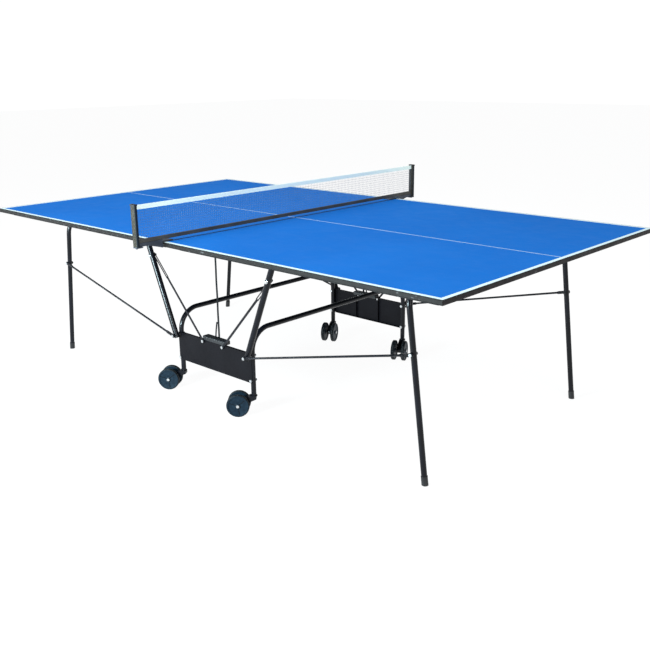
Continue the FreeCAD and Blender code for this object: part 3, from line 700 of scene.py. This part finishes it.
def underside_screws():
    """Screws through the rails, the arm brackets and the leg saddles into each board."""
    down = (0, 0, -1)
    for side, sign in SIDES.items():
        low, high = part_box(side + "_rails")
        inner_x, outer_x = sorted((abs(low.x), abs(high.x)))
        hinge_x = abs(joints[side + "_half_tilt"]["pos_m"][0])
        leg_x = abs(joints[side + "_leg_fold"]["pos_m"][0])
        web = high.z - RAIL_WEB
        mesh = bmesh.new()
        for edge in EDGES.values():
            y = edge * (high.y - HALF_RAIL)
            for index in range(8):
                x = inner_x + 60 * MM + (outer_x - inner_x - 120 * MM) * index / 7
                screw(mesh, Vector((sign * x, y, web)), down)
        for x in (inner_x + HALF_RAIL, (hinge_x + leg_x) / 2, outer_x - HALF_RAIL):
            for index in range(5):
                y = (high.y - 110 * MM) * (index - 2) / 2
                screw(mesh, Vector((sign * x, y, web)), down)
        plate = high.z - BRACKET_PLATE
        for edge in EDGES.values():
            for dx, dy in BRACKET_SCREWS:
                screw(mesh, Vector((sign * (hinge_x + dx * MM), edge * ARM_Y + dy * MM, plate)), down)
            for dx, dy in SADDLE_SCREWS:
                screw(mesh, Vector((sign * (leg_x + dx * MM), edge * SADDLE_Y + dy * MM, plate)), down)
        piece(side + "_underside_screws", mesh, side + "_half", MATERIALS["zinc"])


def arm_ends(side, edge):
    """Foot pivot and top pivot of one arm's axis."""
    foot_x, foot_z = (joints[side + "_fold"]["pos_m"][k] for k in (0, 2))
    top_x, top_z = (joints[side + "_half_tilt"]["pos_m"][k] for k in (0, 2))
    y = EDGES[edge] * ARM_Y
    return Vector((foot_x, y, foot_z)), Vector((top_x, y, top_z))


def arm_fittings():
    """A domed plug in each open end of every arm tube, and a bright cap on its stud's outer head."""
    plug = [(0, -2.2 * MM), (10.6 * MM, -2.2 * MM), (10.6 * MM, 0.0), (11.6 * MM, 0.0),
            (11.6 * MM, 0.5 * MM), (10.4 * MM, 1.3 * MM), (7.0 * MM, 1.9 * MM), (0, 2.2 * MM)]
    cap = [(0, -0.3 * MM), (8.6 * MM, -0.3 * MM), (8.6 * MM, 0.9 * MM), (7.5 * MM, 1.3 * MM),
           (7.4 * MM, 4.6 * MM), (6.6 * MM, 5.6 * MM), (4.0 * MM, 6.4 * MM), (0, 6.7 * MM)]
    for edge, edge_sign in EDGES.items():
        for side in SIDES:
            foot, top = arm_ends(side, edge)
            along = (top - foot).normalized()
            mesh = bmesh.new()
            lathe(mesh, plug, 40, facing(foot - along * ARM_END, -along))
            lathe(mesh, plug, 40, facing(top + along * ARM_END, along))
            piece(f"{edge}_{side}_arm_plugs", mesh, side + "_arms", MATERIALS["black_plastic"])
            mesh = bmesh.new()
            skin = Vector((0, edge_sign * ARM_RADIUS, 0))
            lathe(mesh, cap, 32, facing(foot + along * STUD_DISTANCE + skin, (0, edge_sign, 0)))
            piece(f"{edge}_{side}_stud_cap", mesh, side + "_arms", MATERIALS["zinc"])


underside_screws()
arm_fittings()


# ---------------------------------------------------------------- floor, light and camera

def emit_floor():
    """Pale floor, lit a little from within so that it stays as white as the photo's."""
    mesh = bmesh.new()
    bmesh.ops.create_grid(mesh, x_segments=8, y_segments=8, size=30.0)
    data = bpy.data.meshes.new("floor")
    mesh.to_mesh(data)
    mesh.free()
    floor = bpy.data.objects.new("floor", data)
    bpy.context.scene.collection.objects.link(floor)
    floor.location.z = -0.0005
    g = Graph("floor_white", Specular_IOR_Level=0.0)
    g.shader.inputs["Emission Color"].default_value = (1, 1, 1, 1)
    g.shader.inputs["Emission Strength"].default_value = 0.94
    tone = g.mix(g.noise(0.6, 2.0), (0.12, 0.12, 0.12, 1), (0.13, 0.13, 0.13, 1))
    paint(floor, g.finish(tone, 0.9))


def soft_box(name, place, target, width, height, power, colour=(1, 1, 1)):
    """Rectangular lamp that faces a target and isn't seen itself."""
    light = bpy.data.lights.new(name, "AREA")
    light.shape = "RECTANGLE"
    light.size = width
    light.size_y = height
    light.energy = power
    light.color = colour
    lamp = bpy.data.objects.new(name, light)
    bpy.context.scene.collection.objects.link(lamp)
    lamp.location = place
    lamp.visible_camera = False
    lamp.rotation_euler = (Vector(target) - Vector(place)).to_track_quat("-Z", "Y").to_euler()


def studio():
    """White surround for the camera with a dimmer, cooler light cast from it, and four soft boxes."""
    world = bpy.data.worlds.new("studio")
    bpy.context.scene.world = world
    world.use_nodes = True
    tree = world.node_tree
    tree.nodes.clear()
    seen = tree.nodes.new("ShaderNodeBackground")
    seen.inputs["Color"].default_value = (1, 1, 1, 1)
    seen.inputs["Strength"].default_value = 1.05
    cast = tree.nodes.new("ShaderNodeBackground")
    cast.inputs["Color"].default_value = (0.93, 0.97, 1.0, 1)
    cast.inputs["Strength"].default_value = 0.3
    rays = tree.nodes.new("ShaderNodeLightPath")
    blend = tree.nodes.new("ShaderNodeMixShader")
    out = tree.nodes.new("ShaderNodeOutputWorld")
    tree.links.new(rays.outputs["Is Camera Ray"], blend.inputs[0])
    tree.links.new(cast.outputs[0], blend.inputs[1])
    tree.links.new(seen.outputs[0], blend.inputs[2])
    tree.links.new(blend.outputs[0], out.inputs["Surface"])
    soft_box("overhead", (-0.2, -1.1, 4.5), (0, -0.3, 0.5), 5.0, 4.0, 155)
    soft_box("left_strip", (-3.6, -3.2, 0.9), (0.0, -0.3, 0.5), 0.5, 1.6, 60, (0.78, 0.93, 1.0))
    soft_box("front_strip", (-0.05, -3.0, 0.86), (-0.33, -0.55, 0.5), 0.9, 0.5, 165, (0.72, 0.93, 1.0))
    soft_box("right_fill", (5.0, -2.2, 2.2), (0.0, 0, 0.8), 1.6, 1.6, 100)


LENS = 46.4188
SENSOR = 36.0


def photo_camera():
    """Camera at the photograph's place, with its lens and sensor in mm, and its angles in radians."""
    data = bpy.data.cameras.new("camera")
    data.sensor_width = SENSOR
    data.sensor_fit = "HORIZONTAL"
    data.lens = LENS
    data.clip_end = 200.0
    camera = bpy.data.objects.new("camera", data)
    bpy.context.scene.collection.objects.link(camera)
    yaw, pitch, roll = -0.7518, 0.2954, -0.0118
    forward = Vector((math.sin(yaw) * math.cos(pitch), math.cos(yaw) * math.cos(pitch), -math.sin(pitch)))
    level = Vector((math.cos(yaw), -math.sin(yaw), 0))
    above = level.cross(forward)
    right = level * math.cos(roll) + above * math.sin(roll)
    up = above * math.cos(roll) - level * math.sin(roll)
    matrix = Matrix((right, up, -forward)).transposed().to_4x4()
    matrix.translation = Vector((2.7475, -2.7470, 1.4155))
    camera.matrix_world = matrix
    bpy.context.scene.camera = camera


emit_floor()
studio()
photo_camera()
bpy.context.scene.view_settings.view_transform = "Standard"
